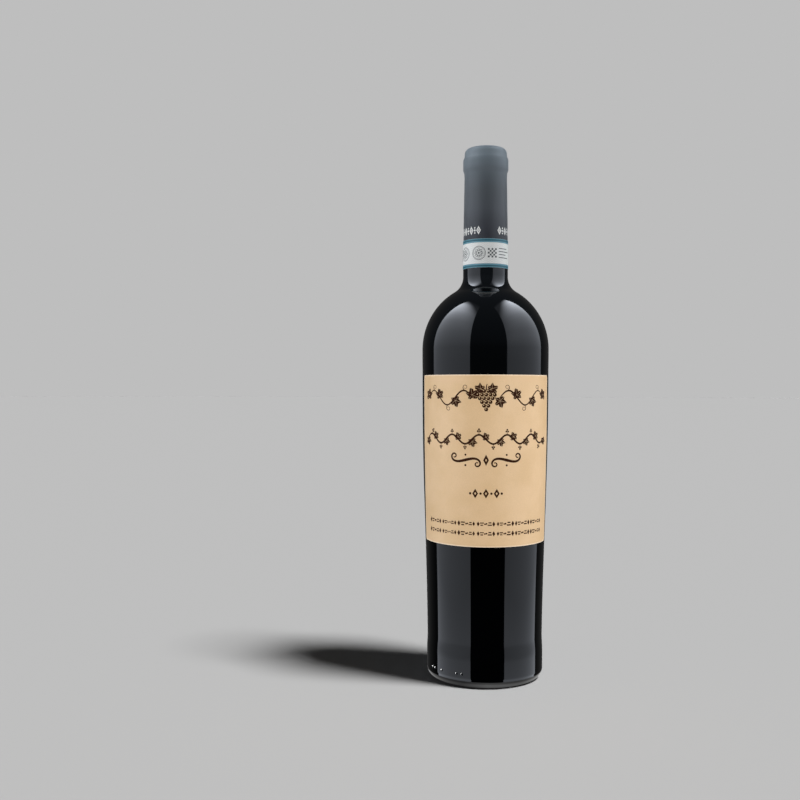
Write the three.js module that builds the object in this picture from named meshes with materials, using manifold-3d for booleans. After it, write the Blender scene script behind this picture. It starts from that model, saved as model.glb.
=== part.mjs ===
// A full 750 ml wine bottle: tall, nearly black glass with high shoulders and sides that taper
// to a rolled heel, closed by a pewter grey capsule, with a paper seal band round the neck and
// a cream paper label on the front.
// Millimetres, +Z up. The bottle stands on z = 0, its axis is Z, and its label faces -Y.

import * as THREE from 'three';
import { mergeVertices } from 'three/addons/utils/BufferGeometryUtils.js';
import Module from 'manifold-3d';

// Whole bottle
const totalHeight = 329.8;
const facetsAround = 56;
const steps = { punt: 8, puntLip: 2, heelEdge: 6, crease: 4, wall: 11, dome: 11, neckRoot: 7, lip: 4 };

// Foot, heel and punt of the glass
const footRadius = 31.8;
const heelRadius = 36.05;
const heelArcTop = 6.5;
const heelBandTop = 16;
const waistRadius = 35.7;
const waistHeight = 26;
const creaseHandle = 3.5;
const puntRadius = 26.8;
const puntDepth = 24;
const puntCrownRadius = 13.4;
const puntSideRadius = 23.6;
const puntSideHeight = 10.1;
const puntLipRound = 0.7;

// Tapered wall and shoulder
const bodyRadius = 39.45;
const wallRadius = 39.35;
const taperTop = 190;
const taperHandle = 68;
const waistSpread = 1;
const shoulderStart = 199;
const shoulderBase = 204;
const shoulderRise = 41.2;

// Neck
const neckRadius = 13.9;
const neckFillet = 11.5;
const neckBareTop = 255.5;

// Raised dots of the mould code, as angles from the front, to the left
const codeDotAngles = [61.2, 56.4, 45.9, 27.7, 22.0];
const codeDotHeight = 8.3;
const codeDotRadius = 0.95;
const codeDotSunk = 0.5;
const codeDotFacets = { around: 10, high: 7 };

// Capsule
const capsuleWall = 0.3;
const capsuleGap = 0.1;
const skirtHeight = 258;
const skirtRadius = 13.95;
const sleeveRadius = 13.75;
const sleeveHeight = 283;
const throatRadius = 13.28;
const throatHeight = 311.5;
const throatFlare = 0.12;
const beadRadius = 14.13;
const beadBottom = 316.2;
const beadTop = 322.4;
const beadSlope = 2;
const beadEdge = { radial: 0.22, high: 0.75 };
const lipRadius = 13.2;
const lipRound = 3.4;

// Seal band over the skirt of the capsule
const bandBottom = 254.1;
const bandTop = 271.8;
const bandGap = 0.06;
const bandThickness = 0.16;

// Front label
const labelBottom = 85.3;
const labelTop = 187.7;
const labelWidth = 99.4;
const labelTurn = 1.0;
const labelCornerRadius = 1.4;
const labelEndRise = 0.6;
const labelGap = 0.08;
const labelThickness = 0.2;
const labelColumns = 28;
const labelRows = 12;
const labelCornerRows = 2;

// Closeness at which two points are one
const mergeDistance = 1e-4;

const wasm = await Module();
wasm.setup();

// Points of a round or elliptic arc in the plane of radius and height, angles in degrees

function arcPoints(centreR, centreZ, radiusR, radiusZ, from, to, count) {
  const points = [];
  for (let i = 0; i <= count; i++) {
    const angle = THREE.MathUtils.degToRad(from + ((to - from) * i) / count);
    points.push(new THREE.Vector2(
      centreR + radiusR * Math.cos(angle),
      centreZ + radiusZ * Math.sin(angle),
    ));
  }
  return points;
}

// Points of a cubic curve through its two ends, drawn towards its two handles

function curvePoints(start, startHandle, endHandle, end, count) {
  const curve = new THREE.CubicBezierCurve(
    new THREE.Vector2(...start),
    new THREE.Vector2(...startHandle),
    new THREE.Vector2(...endHandle),
    new THREE.Vector2(...end),
  );
  return curve.getPoints(count);
}

// A solid of revolution round Z, from an outline of radius and height drawn from the bottom up

function turned(outline) {
  const distinct = outline.filter((point, i) => (
    i === 0 || point.distanceTo(outline[i - 1]) > mergeDistance
  ));
  const geometry = new THREE.LatheGeometry(distinct, facetsAround);
  geometry.rotateX(Math.PI / 2);
  return geometry;
}

// Inside and edge of the foot: a domed punt with a softly rounded lip

function puntOutline() {
  const dome = curvePoints(
    [0, puntDepth],
    [puntCrownRadius, puntDepth],
    [puntSideRadius, puntSideHeight],
    [puntRadius, puntLipRound],
    steps.punt,
  );
  const lip = arcPoints(
    puntRadius + puntLipRound,
    puntLipRound,
    puntLipRound,
    puntLipRound,
    180,
    270,
    steps.puntLip,
  );
  return [...dome, ...lip];
}

// Heel: a round edge, a straight band and the crease above it

function heelOutline() {
  const edgeWidth = heelRadius - footRadius;
  const edge = arcPoints(footRadius, heelArcTop, edgeWidth, heelArcTop, -90, 0, steps.heelEdge);
  const crease = curvePoints(
    [heelRadius, heelBandTop],
    [heelRadius, heelBandTop + creaseHandle],
    [waistRadius, waistHeight - creaseHandle],
    [waistRadius, waistHeight],
    steps.crease,
  );
  return [...edge, ...crease];
}

// Wall of the body, widening slightly from the waist to the shoulder

function wallOutline() {
  return curvePoints(
    [waistRadius, waistHeight],
    [waistRadius + waistSpread, waistHeight + taperHandle],
    [wallRadius, taperTop - taperHandle],
    [wallRadius, taperTop],
    steps.wall,
  );
}

// Shoulder and neck root: an elliptic dome that runs into the neck through a round fillet.
// The angle where dome and fillet touch is found by halving.

function shoulderOutline() {
  const filletCentre = neckRadius + neckFillet;
  const touch = (angle) => {
    const normal = new THREE.Vector2(Math.cos(angle) / bodyRadius, Math.sin(angle) / shoulderRise);
    normal.normalize();
    const point = new THREE.Vector2(
      bodyRadius * Math.cos(angle),
      shoulderBase + shoulderRise * Math.sin(angle),
    );
    return { point, normal, centre: point.clone().addScaledVector(normal, neckFillet) };
  };
  let low = 0;
  let high = Math.PI / 2;
  while (high - low > 1e-9) {
    const middle = (low + high) / 2;
    if (touch(middle).centre.x > filletCentre) {
      low = middle;
    } else {
      high = middle;
    }
  }
  const { normal, centre } = touch(low);
  const domeEnd = THREE.MathUtils.radToDeg(low);
  const slope = THREE.MathUtils.radToDeg(normal.angle());
  const dome = arcPoints(0, shoulderBase, bodyRadius, shoulderRise, 0, domeEnd, steps.dome);
  const root = arcPoints(
    filletCentre,
    centre.y,
    neckFillet,
    neckFillet,
    180 + slope,
    180,
    steps.neckRoot,
  );
  return [new THREE.Vector2(bodyRadius, shoulderStart), ...dome, ...root];
}

// Capsule surface, or a surface at an even depth below it, from the skirt up to the axis

function capsuleOutline(depth) {
  const sides = [
    [skirtRadius, skirtHeight],
    [sleeveRadius, sleeveHeight],
    [throatRadius, throatHeight],
    [throatRadius + throatFlare, beadBottom - beadSlope],
    [beadRadius - beadEdge.radial, beadBottom - beadEdge.high],
    [beadRadius, beadBottom],
    [beadRadius, beadTop],
    [beadRadius - beadEdge.radial, beadTop + beadEdge.high],
    [lipRadius + throatFlare, beadTop + beadSlope],
  ].map(([radius, height]) => new THREE.Vector2(radius - depth, height));
  const corner = arcPoints(
    lipRadius - lipRound,
    totalHeight - lipRound,
    lipRound - depth,
    lipRound - depth,
    0,
    90,
    steps.lip,
  );
  return [...sides, ...corner, new THREE.Vector2(0, totalHeight - depth)];
}

// A boolean solid from a geometry: its seams are merged and its flat triangles dropped

function toSolid(geometry) {
  const bare = geometry.clone();
  bare.deleteAttribute('normal');
  bare.deleteAttribute('uv');
  const merged = mergeVertices(bare, mergeDistance);
  const corners = merged.index.array;
  const kept = [];
  for (let i = 0; i < corners.length; i += 3) {
    const [a, b, c] = [corners[i], corners[i + 1], corners[i + 2]];
    if (a !== b && b !== c && c !== a) {
      kept.push(a, b, c);
    }
  }
  return new wasm.Manifold(new wasm.Mesh({
    numProp: 3,
    vertProperties: new Float32Array(merged.attributes.position.array),
    triVerts: new Uint32Array(kept),
  }));
}

// A geometry from a boolean solid

function toGeometry(solid) {
  const { vertProperties, triVerts } = solid.getMesh();
  const geometry = new THREE.BufferGeometry();
  geometry.setAttribute('position', new THREE.BufferAttribute(vertProperties, 3));
  geometry.setIndex(new THREE.BufferAttribute(triVerts, 1));
  return geometry;
}

// The glass: one solid up to the finish inside the capsule, with the mould code's dots on its heel

const wall = wallOutline();

function makeGlass() {
  const outline = [
    ...puntOutline(),
    ...heelOutline(),
    ...wall.slice(1),
    ...shoulderOutline(),
    new THREE.Vector2(neckRadius, neckBareTop),
    ...capsuleOutline(capsuleWall + capsuleGap),
  ];
  let solid = toSolid(turned(outline));
  for (const angle of codeDotAngles) {
    const dot = new THREE.SphereGeometry(codeDotRadius, codeDotFacets.around, codeDotFacets.high);
    dot.translate(0, -(heelRadius - codeDotSunk), codeDotHeight);
    dot.rotateZ(THREE.MathUtils.degToRad(-angle));
    solid = solid.add(toSolid(dot));
  }
  return toGeometry(solid);
}

// The capsule: a closed cup drawn down over the neck, open at its skirt

function makeCapsule() {
  const inside = capsuleOutline(capsuleWall).reverse();
  return turned([...inside, ...capsuleOutline(0)]);
}

// The seal band: a thin ring, straight where it lies on the glass and tapered over the skirt

function makeBand() {
  const slope = (skirtRadius - sleeveRadius) / (sleeveHeight - skirtHeight);
  const inner = skirtRadius + bandGap;
  const topInner = inner - slope * (bandTop - skirtHeight);
  return turned([
    new THREE.Vector2(inner, skirtHeight),
    new THREE.Vector2(inner, bandBottom),
    new THREE.Vector2(inner + bandThickness, bandBottom),
    new THREE.Vector2(inner + bandThickness, skirtHeight),
    new THREE.Vector2(topInner + bandThickness, bandTop),
    new THREE.Vector2(topInner, bandTop),
    new THREE.Vector2(inner, skirtHeight),
  ]);
}

// Radius of the glass wall at a height, between the points of its outline

function wallRadiusAt(height) {
  const above = wall.findIndex((point) => point.y >= height);
  const low = wall[above - 1];
  const high = wall[above];
  return THREE.MathUtils.mapLinear(height, low.y, high.y, low.x, high.x);
}

// Rows of the label from bottom to top, each with its height and half its width,
// which shortens round the corners

function labelRowSizes() {
  const middle = labelTop - labelBottom - 2 * labelCornerRadius;
  const rows = [];
  for (let i = 0; i <= labelCornerRows; i++) {
    const angle = (Math.PI / 2) * (i / labelCornerRows);
    rows.push({
      height: labelBottom + labelCornerRadius * (1 - Math.cos(angle)),
      half: labelWidth / 2 - labelCornerRadius * (1 - Math.sin(angle)),
    });
  }
  for (let i = 1; i < labelRows; i++) {
    rows.push({
      height: labelBottom + labelCornerRadius + (middle * i) / labelRows,
      half: labelWidth / 2,
    });
  }
  const topRows = rows.slice(0, labelCornerRows + 1).reverse();
  for (const row of topRows) {
    rows.push({ height: labelBottom + labelTop - row.height, half: row.half });
  }
  return rows;
}

// The label: a thin sheet with rounded corners, cut straight and wrapped round the tapered wall,
// so that the ends of its lower edge rise a little

function makeLabel() {
  const rows = labelRowSizes();
  const lift = { inner: labelGap, outer: labelGap + labelThickness };
  const positions = [];
  for (const side of [lift.outer, lift.inner]) {
    for (const { height, half } of rows) {
      const radius = wallRadiusAt(height);
      const rise = labelEndRise * (labelTop - height) / (labelTop - labelBottom);
      for (let i = 0; i <= labelColumns; i++) {
        const along = half * ((2 * i) / labelColumns - 1);
        const angle = along / radius + THREE.MathUtils.degToRad(labelTurn);
        const r = radius + side;
        const z = height + rise * (along / half) ** 2;
        positions.push(r * Math.sin(angle), -r * Math.cos(angle), z);
      }
    }
  }
  const perRow = labelColumns + 1;
  const perSide = perRow * rows.length;
  const faces = [];
  for (let row = 0; row < rows.length - 1; row++) {
    for (let column = 0; column < labelColumns; column++) {
      const a = row * perRow + column;
      const b = a + 1;
      const c = b + perRow;
      const d = a + perRow;
      faces.push(a, b, c, a, c, d);
      faces.push(perSide + a, perSide + c, perSide + b, perSide + a, perSide + d, perSide + c);
    }
  }
  const edge = [];
  const lastRow = rows.length - 1;
  for (let column = 0; column < labelColumns; column++) {
    edge.push(column);
  }
  for (let row = 0; row < lastRow; row++) {
    edge.push(row * perRow + labelColumns);
  }
  for (let column = labelColumns; column > 0; column--) {
    edge.push(lastRow * perRow + column);
  }
  for (let row = lastRow; row > 0; row--) {
    edge.push(row * perRow);
  }
  edge.forEach((from, i) => {
    const to = edge[(i + 1) % edge.length];
    faces.push(from, perSide + from, perSide + to, from, perSide + to, to);
  });
  const geometry = new THREE.BufferGeometry();
  geometry.setAttribute('position', new THREE.Float32BufferAttribute(positions, 3));
  geometry.setIndex(faces);
  return geometry;
}

// Materials

const darkGlass = new THREE.MeshStandardMaterial({ color: 0x0b0d10, roughness: 0.06, metalness: 0 });
const pewterFoil = new THREE.MeshStandardMaterial({ color: 0x5a5d64, roughness: 0.42, metalness: 0.35 });
const sealPaper = new THREE.MeshStandardMaterial({ color: 0xdbe0e0, roughness: 0.55, metalness: 0 });
const labelPaper = new THREE.MeshStandardMaterial({ color: 0xd8bea0, roughness: 0.8, metalness: 0 });

const group = new THREE.Group();

function addPiece(name, geometry, material) {
  geometry.computeVertexNormals();
  const mesh = new THREE.Mesh(geometry, material);
  mesh.name = name;
  group.add(mesh);
}

addPiece('glass_bottle', makeGlass(), darkGlass);
addPiece('capsule', makeCapsule(), pewterFoil);
addPiece('neck_seal_band', makeBand(), sealPaper);
addPiece('front_label', makeLabel(), labelPaper);

export default group;
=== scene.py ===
import math

import bmesh
import bpy
import numpy as np
from mathutils import Matrix, Vector, noise


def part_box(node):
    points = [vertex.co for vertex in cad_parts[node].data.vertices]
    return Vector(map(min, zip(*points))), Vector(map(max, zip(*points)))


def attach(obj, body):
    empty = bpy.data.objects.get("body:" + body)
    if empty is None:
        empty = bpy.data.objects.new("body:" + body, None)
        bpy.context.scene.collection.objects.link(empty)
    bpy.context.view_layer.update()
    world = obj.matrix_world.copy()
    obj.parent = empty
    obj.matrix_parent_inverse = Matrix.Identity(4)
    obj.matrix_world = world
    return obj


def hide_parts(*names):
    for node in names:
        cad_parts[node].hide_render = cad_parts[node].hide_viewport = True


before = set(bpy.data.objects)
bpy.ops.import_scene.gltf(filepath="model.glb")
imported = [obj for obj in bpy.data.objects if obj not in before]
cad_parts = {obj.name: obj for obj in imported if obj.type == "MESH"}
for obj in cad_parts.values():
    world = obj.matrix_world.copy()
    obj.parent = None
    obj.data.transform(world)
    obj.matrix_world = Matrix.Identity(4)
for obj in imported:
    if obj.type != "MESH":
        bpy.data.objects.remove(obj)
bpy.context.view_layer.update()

# Studio. The bottle stands on a plain pale floor that runs on into an even backdrop. Two tall soft
# boxes stand before it, left and right, and the camera looks from a little over half its height.

mm = 0.001
photo_width = 800
sensor_width = 36.0
focal_pixels = 1005.0
horizon_pixel = 391.0
axis_pixel = 485.1
camera_height = 0.1779
camera_distance = 0.6343
camera_roll = 0.12
backdrop_grey = 0.515
floor_grey = 0.5
floor_radius = 30.0
floor_bounce = 0.82
ceiling_light = 0.03
dark_room = ((-1.0, 0.004), (-0.16, 0.006), (0.0, 0.03), (0.2, 0.055), (0.9, 0.09))
dark_room_tint = (0.85, 1.0, 1.2)
back_wall_grey = 0.06
card_radius = 41.0
card_height = 0.05 * mm
# Painted reflection of the floor by radius: dark under the foot as painted contact shadow, then a bright
# ring
painted_reflection_rings = (
    (0.0, 0.0), (32.0, 0.08), (33.0, 0.35), (33.8, 0.75), (34.9, 1.5), (35.9, 1.75), (37.0, 1.35),
    (38.6, 0.6), (card_radius, 0.4),
)
# Painted shade across the card: its left dimmed as the reflected shadow of the bottle, its right dimmed
# less
painted_side_shade_stops = (
    (-card_radius, 0.35), (-14.0, 0.35), (-6.0, 0.68), (2.0, 1.0), (12.0, 0.85), (24.0, 0.5),
    (card_radius, 0.5),
)
box_distance = 0.7
box_colour = (0.93, 0.99, 1.1)

scene = bpy.context.scene
scene.view_settings.view_transform = "Standard"
scene.view_settings.look = "None"

camera_data = bpy.data.cameras.new("photo_camera")
camera_data.sensor_width = sensor_width
camera_data.lens = focal_pixels / photo_width * sensor_width
camera = bpy.data.objects.new("photo_camera", camera_data)
scene.collection.objects.link(camera)
camera_pitch = math.atan((photo_width / 2 - horizon_pixel) / focal_pixels)
camera_yaw = math.atan((axis_pixel - photo_width / 2) / focal_pixels)
camera_turn = (
    Matrix.Rotation(camera_yaw, 4, "Z")
    @ Matrix.Rotation(math.pi / 2 - camera_pitch, 4, "X")
    @ Matrix.Rotation(math.radians(camera_roll), 4, "Z")
)
camera.matrix_world = Matrix.Translation((0, -camera_distance, camera_height)) @ camera_turn
scene.camera = camera


def add_node(tree, kind, settings=None, **sockets):
    """A node with its settings, and with numbers or other nodes' outputs on its inputs. A
    socket's name has spaces for underscores, or is in_0, in_1 and so on by its place."""
    node = tree.nodes.new(kind)
    for label, value in (settings or {}).items():
        setattr(node, label, value)
    for label, value in sockets.items():
        if label.startswith("in_"):
            socket = node.inputs[int(label[3:])]
        else:
            socket = node.inputs[label.replace("_", " ")]
        if isinstance(value, bpy.types.NodeSocket):
            tree.links.new(value, socket)
        else:
            socket.default_value = value
    return node


def formula(tree, operation, *values):
    places = {"in_%d" % i: value for i, value in enumerate(values)}
    return add_node(tree, "ShaderNodeMath", {"operation": operation}, **places).outputs["Value"]


def ramp_between(tree, value, start, end, first=0.0, last=1.0, kind="SMOOTHSTEP"):
    node = add_node(
        tree, "ShaderNodeMapRange", {"interpolation_type": kind},
        Value=value, From_Min=start, From_Max=end, To_Min=first, To_Max=last,
    )
    return node.outputs["Result"]


def mixed_colour(tree, factor, first, second, blend="MIX"):
    node = add_node(
        tree, "ShaderNodeMix", {"data_type": "RGBA", "blend_type": blend},
        in_0=factor, in_6=first, in_7=second,
    )
    return node.outputs[2]


def shades(tree, value, stops, unit=1.0):
    """A run of greys or colours over a value, as (value in units, grey or colour) stops."""
    low = stops[0][0]
    high = stops[-1][0]
    reach = ramp_between(tree, value, low * unit, high * unit, kind="LINEAR")
    ramp = add_node(tree, "ShaderNodeValToRGB", None, Fac=reach)
    elements = ramp.color_ramp.elements
    for place, _ in stops[1:-1]:
        elements.new((place - low) / (high - low))
    for element, (_, shade) in zip(elements, stops):
        element.color = (*(shade if isinstance(shade, tuple) else (shade,) * 3), 1)
    return ramp.outputs["Color"]


def material_of(name, **values):
    """A material with its Principled surface set, its node tree and that surface."""
    made = bpy.data.materials.new(name)
    made.use_nodes = True
    main = made.node_tree.nodes["Principled BSDF"]
    for label, value in values.items():
        main.inputs[label.replace("_", " ")].default_value = value
    return made, made.node_tree, main


def stage_disc(name, radius, height, paint):
    """A flat round stage piece."""
    mesh = bpy.data.meshes.new(name)
    shape = bmesh.new()
    bmesh.ops.create_circle(shape, cap_ends=True, segments=96, radius=radius)
    bmesh.ops.translate(shape, verts=shape.verts, vec=(0, 0, height))
    shape.to_mesh(mesh)
    shape.free()
    mesh.materials.append(paint)
    disc = bpy.data.objects.new(name, mesh)
    scene.collection.objects.link(disc)
    return disc


def studio_light(name, kind, place, energy, colour=(1.0, 1.0, 1.0)):
    """A light that shines from its place's side at the bottle, and isn't seen itself."""
    data = bpy.data.lights.new(name, kind)
    data.energy = energy
    data.color = colour
    light = bpy.data.objects.new(name, data)
    scene.collection.objects.link(light)
    light.rotation_euler = (-Vector(place)).to_track_quat("-Z", "Y").to_euler()
    light.visible_camera = False
    return light


def light_for(light, objects, state):
    """Lets a light reach only the objects, or all but them."""
    chosen = bpy.data.collections.new(light.name + "_reach")
    for chosen_object in objects:
        chosen.objects.link(chosen_object)
    for member in chosen.collection_objects:
        member.light_linking.link_state = state
    light.light_linking.receiver_collection = chosen


# The room is dark where the glass mirrors it, and pale to the camera and to matt surfaces
room = bpy.data.worlds.new("studio_room")
scene.world = room
room.use_nodes = True
room_tree = room.node_tree
ray_kind = add_node(room_tree, "ShaderNodeLightPath")
looking = add_node(room_tree, "ShaderNodeTexCoord")
looking_split = add_node(room_tree, "ShaderNodeSeparateXYZ", None, Vector=looking.outputs["Generated"])
looking_up = looking_split.outputs["Z"]
dark_walls = shades(
    room_tree, looking_up,
    [(up, tuple(grey * tint for tint in dark_room_tint)) for up, grey in dark_room],
)
behind = ramp_between(room_tree, looking_split.outputs["Y"], 0.1, 0.95)
mirrored_room = mixed_colour(room_tree, behind, dark_walls, (*(back_wall_grey,) * 3, 1))
bounce = ramp_between(room_tree, looking_up, -0.15, 0.15, floor_bounce, ceiling_light, "LINEAR")
lit_room = mixed_colour(room_tree, ray_kind.outputs["Is Glossy Ray"], bounce, mirrored_room)
room_tree.links.new(
    mixed_colour(room_tree, ray_kind.outputs["Is Camera Ray"], lit_room, (*(backdrop_grey,) * 3, 1)),
    room_tree.nodes["Background"].inputs["Color"],
)

floor_paint = material_of(
    "floor_paint", Base_Color=(*(floor_grey,) * 3, 1), Roughness=0.9, Specular_IOR_Level=0.0,
)[0]
floor = stage_disc("floor", floor_radius, 0.0, floor_paint)
floor.visible_glossy = False
floor.visible_diffuse = False

# A bright card of the bottle's own size under its foot, which only the glass reflects; its glow is a
# painted reflection of the floor. It is dark where the foot stands on it, as painted contact shadow,
# and dimmer towards its left and right, as painted shade.
card_paint, card_tree, card_main = material_of(
    "card_paint", Base_Color=(0, 0, 0, 1), Roughness=0.9, Emission_Strength=1.0,
)
card_place = add_node(card_tree, "ShaderNodeTexCoord").outputs["Object"]
card_split = add_node(card_tree, "ShaderNodeSeparateXYZ", None, Vector=card_place)
card_out = add_node(card_tree, "ShaderNodeVectorMath", {"operation": "LENGTH"}, in_0=card_place)
painted_floor_reflection = mixed_colour(
    card_tree, 1.0, shades(card_tree, card_out.outputs["Value"], painted_reflection_rings, mm),
    shades(card_tree, card_split.outputs["X"], painted_side_shade_stops, mm), "MULTIPLY",
)
card_tree.links.new(painted_floor_reflection, card_main.inputs["Emission Color"])
foot_card = stage_disc("foot_card", card_radius * mm, card_height, card_paint)
foot_card.visible_camera = False
foot_card.visible_diffuse = False
foot_card.visible_shadow = False


def soft_box(name, facing, inner, outer, bottom, top, heights, slant, fade):
    """A tall soft box. facing is the direction from the bottle, in degrees from the camera's side,
    inner and outer are its edges along its own plane, and heights gives its brightness as
    (height, brightness) stops. Its top inner corner fades where height + slant * along passes
    the two values of fade."""
    angle = math.radians(facing)
    outward = Vector((math.sin(angle), -math.cos(angle), 0))
    along = Vector((math.cos(angle), math.sin(angle), 0))
    width = abs(outer - inner)
    light = studio_light(name, "AREA", outward, math.pi * width * (top - bottom), box_colour)
    light.location = outward * box_distance + along * (inner + outer) / 2
    light.location.z = (bottom + top) / 2
    light.data.shape = "RECTANGLE"
    light.data.size = width
    light.data.size_y = top - bottom
    light.data.use_nodes = True
    tree = light.data.node_tree
    place = add_node(tree, "ShaderNodeNewGeometry")
    split = add_node(tree, "ShaderNodeSeparateXYZ", None, Vector=place.outputs["Position"])
    height = split.outputs["Z"]
    across_x = formula(tree, "MULTIPLY", split.outputs["X"], along.x)
    across_y = formula(tree, "MULTIPLY", split.outputs["Y"], along.y)
    across = formula(tree, "ADD", across_x, across_y)
    slanted = formula(tree, "ADD", height, formula(tree, "MULTIPLY", across, slant))
    corner = ramp_between(tree, slanted, *fade, 1.0, 0.03)
    side = ramp_between(tree, across, inner, outer, 0.85, 1.25, "LINEAR")
    strength = formula(tree, "MULTIPLY", shades(tree, height, heights), corner)
    strength = formula(tree, "MULTIPLY", strength, side)
    tree.links.new(strength, tree.nodes["Emission"].inputs["Strength"])
    light_for(light, [floor], "EXCLUDE")
    return light


soft_box(
    "soft_box_left", -55, 0.377, -0.84, -0.7, 3.1,
    ((-0.7, 2.4), (-0.5, 2.0), (-0.25, 1.15), (-0.12, 0.75), (0.2, 0.72), (0.28, 0.88), (0.56, 1.38),
     (0.83, 2.1), (1.05, 3.2), (1.35, 5.2), (1.75, 6.6), (2.05, 6.8), (2.55, 2.8), (3.1, 0.1)),
    1.45, (0.75, 2.35),
)
right_box = soft_box(
    "soft_box_right", 69, -0.412, 0.8, -0.7, 2.6,
    ((-0.7, 2.4), (-0.5, 2.0), (-0.25, 1.15), (-0.12, 0.7), (0.2, 0.64), (0.28, 0.82), (0.43, 1.1),
     (0.55, 1.2), (0.8, 1.8), (0.95, 2.4), (1.15, 3.7), (1.4, 5.3), (1.85, 7.5), (2.2, 6.5), (2.6, 0.3)),
    -1.46, (0.6, 2.15),
)

# The floor has a wide lamp of its own, high on the right, which throws the soft shadow to the left
floor_lamp = studio_light("floor_lamp", "SUN", (1.0, -0.34, 2.0), 3.57)
floor_lamp.data.angle = math.radians(14)
floor_lamp.visible_glossy = False
light_for(floor_lamp, [floor], "INCLUDE")


def dot_lamp(target):
    """A lamp low on the left that only the heel's code dots catch, as small glints, while the
    right box doesn't reach them."""
    place = Vector((-0.47, 0.1, 0.22))
    width = 0.45
    radiance = 42
    lamp = studio_light("dot_lamp", "AREA", place, radiance * (math.pi * width / 2) ** 2)
    lamp.location = place
    lamp.data.shape = "DISK"
    lamp.data.size = width
    light_for(lamp, [target], "INCLUDE")
    light_for(right_box, [floor, target], "EXCLUDE")


def label_lamp(target):
    """A wide warm lamp from the front, right of the camera, that evens out the light on the label."""
    lamp = studio_light("label_lamp", "SUN", (0.55, -0.84, 0.15), 1.15, (1.0, 0.93, 0.8))
    lamp.data.angle = math.radians(25)
    light_for(lamp, [target], "INCLUDE")


# Bottle. A 750 ml body of nearly black glass, blown in a two-part mould: a domed punt, a heel with
# the base plate's parting line and five code dots, tapered sides, a high shoulder and a short neck.

foot_radius = 31.8 * mm
heel_radius = 36.05 * mm
heel_arc_top = 6.5 * mm
heel_band_top = 16 * mm
waist_radius = 35.7 * mm
waist_height = 26 * mm
crease_handle = 3.5 * mm
punt_radius = 26.8 * mm
punt_depth = 24 * mm
punt_crown_radius = 13.4 * mm
punt_side = (23.6 * mm, 10.1 * mm)
punt_lip = 0.7 * mm
wall_radius = 39.35 * mm
taper_top = 190 * mm
taper_handle = 68 * mm
waist_spread = 1 * mm
body_radius = 39.45 * mm
shoulder_start = 199 * mm
shoulder_base = 204 * mm
shoulder_rise = 41.2 * mm
neck_radius = 13.9 * mm
neck_fillet = 11.5 * mm
neck_bare_top = 255.5 * mm
bearing_lift = 0.25 * mm
plate_line_height = 4.4 * mm
plate_line_size = 0.08 * mm
plate_line_width = 0.35 * mm
seam_size = 0.09 * mm
seam_width = 0.28 * mm
wave_size = 0.035 * mm
wave_length = 34 * mm


def arc(centre, radii, start, end, count):
    angle = np.radians(np.linspace(start, end, count))
    across = centre[0] + radii[0] * np.cos(angle)
    return np.column_stack((across, centre[1] + radii[1] * np.sin(angle)))


def curve(start, start_handle, end_handle, end, count):
    t = np.linspace(0, 1, count)[:, None]
    a, b, c, d = (np.array(point) for point in (start, start_handle, end_handle, end))
    return (1 - t) ** 3 * a + 3 * (1 - t) ** 2 * t * b + 3 * (1 - t) * t ** 2 * c + t ** 3 * d


def outline(*parts):
    """One line of (radius, height) points, without the points that two parts share."""
    points = np.concatenate([np.atleast_2d(np.array(part, float)) for part in parts])
    steps = np.linalg.norm(np.diff(points, axis=0), axis=1)
    return points[np.concatenate(([True], steps > 1e-6))]


def dense(points, longest):
    """The same line with points no further apart than longest."""
    made = [points[0]]
    for low, high in zip(points, points[1:]):
        count = max(1, math.ceil(np.linalg.norm(high - low) / longest))
        made.extend(low + (high - low) * i / count for i in range(1, count + 1))
    return np.array(made)


def turned(name, points, angles, relief=None, closed=False):
    """A surface of revolution, from the axis to the axis or closed on itself. Angles run from
    the front, -Y, towards +X, and relief(angle, radius, height) stands out of the surface."""
    vertices = []
    rows = []
    for radius, height in points:
        if radius < 1e-7:
            rows.append([len(vertices)] * len(angles))
            vertices.append((0, 0, height))
            continue
        rows.append(list(range(len(vertices), len(vertices) + len(angles))))
        for angle in angles:
            out = radius + (relief(angle, radius, height) if relief else 0)
            vertices.append((out * math.sin(angle), -out * math.cos(angle), height))
    faces = []
    pairs = list(zip(rows, rows[1:]))
    if closed:
        pairs.append((rows[-1], rows[0]))
    for low, high in pairs:
        for i in range(len(angles)):
            j = (i + 1) % len(angles)
            corners = (low[i], low[j], high[j], high[i])
            faces.append(tuple(dict.fromkeys(corners)))
    mesh = bpy.data.meshes.new(name)
    mesh.from_pydata(vertices, [], faces)
    mesh.shade_smooth()
    return mesh


def piece(name, mesh, material, slot, *nodes):
    """A finished piece of the bottle, with the CAD nodes that it stands for."""
    made = bpy.data.objects.new(name, mesh)
    scene.collection.objects.link(made)
    mesh.materials.clear()
    mesh.materials.append(material)
    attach(made, "root")
    if nodes:
        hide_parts(*nodes)
    return made


def shoulder_line():
    """The dome of the shoulder and the round fillet that it runs into the neck with."""
    fillet_centre = neck_radius + neck_fillet
    low, high = 0.0, math.pi / 2
    while high - low > 1e-9:
        middle = (low + high) / 2
        normal = Vector((math.cos(middle) / body_radius, math.sin(middle) / shoulder_rise))
        normal.normalize()
        touch = Vector((body_radius * math.cos(middle), shoulder_rise * math.sin(middle)))
        centre = touch + normal * neck_fillet
        if centre.x > fillet_centre:
            low = middle
        else:
            high = middle
    slope = math.degrees(math.atan2(normal.y, normal.x))
    dome_end = math.degrees(middle)
    dome = arc((0, shoulder_base), (body_radius, shoulder_rise), 0, dome_end, 64)
    fillet = (fillet_centre, shoulder_base + centre.y)
    return outline(dome, arc(fillet, (neck_fillet, neck_fillet), 180 + slope, 180, 32))


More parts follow.
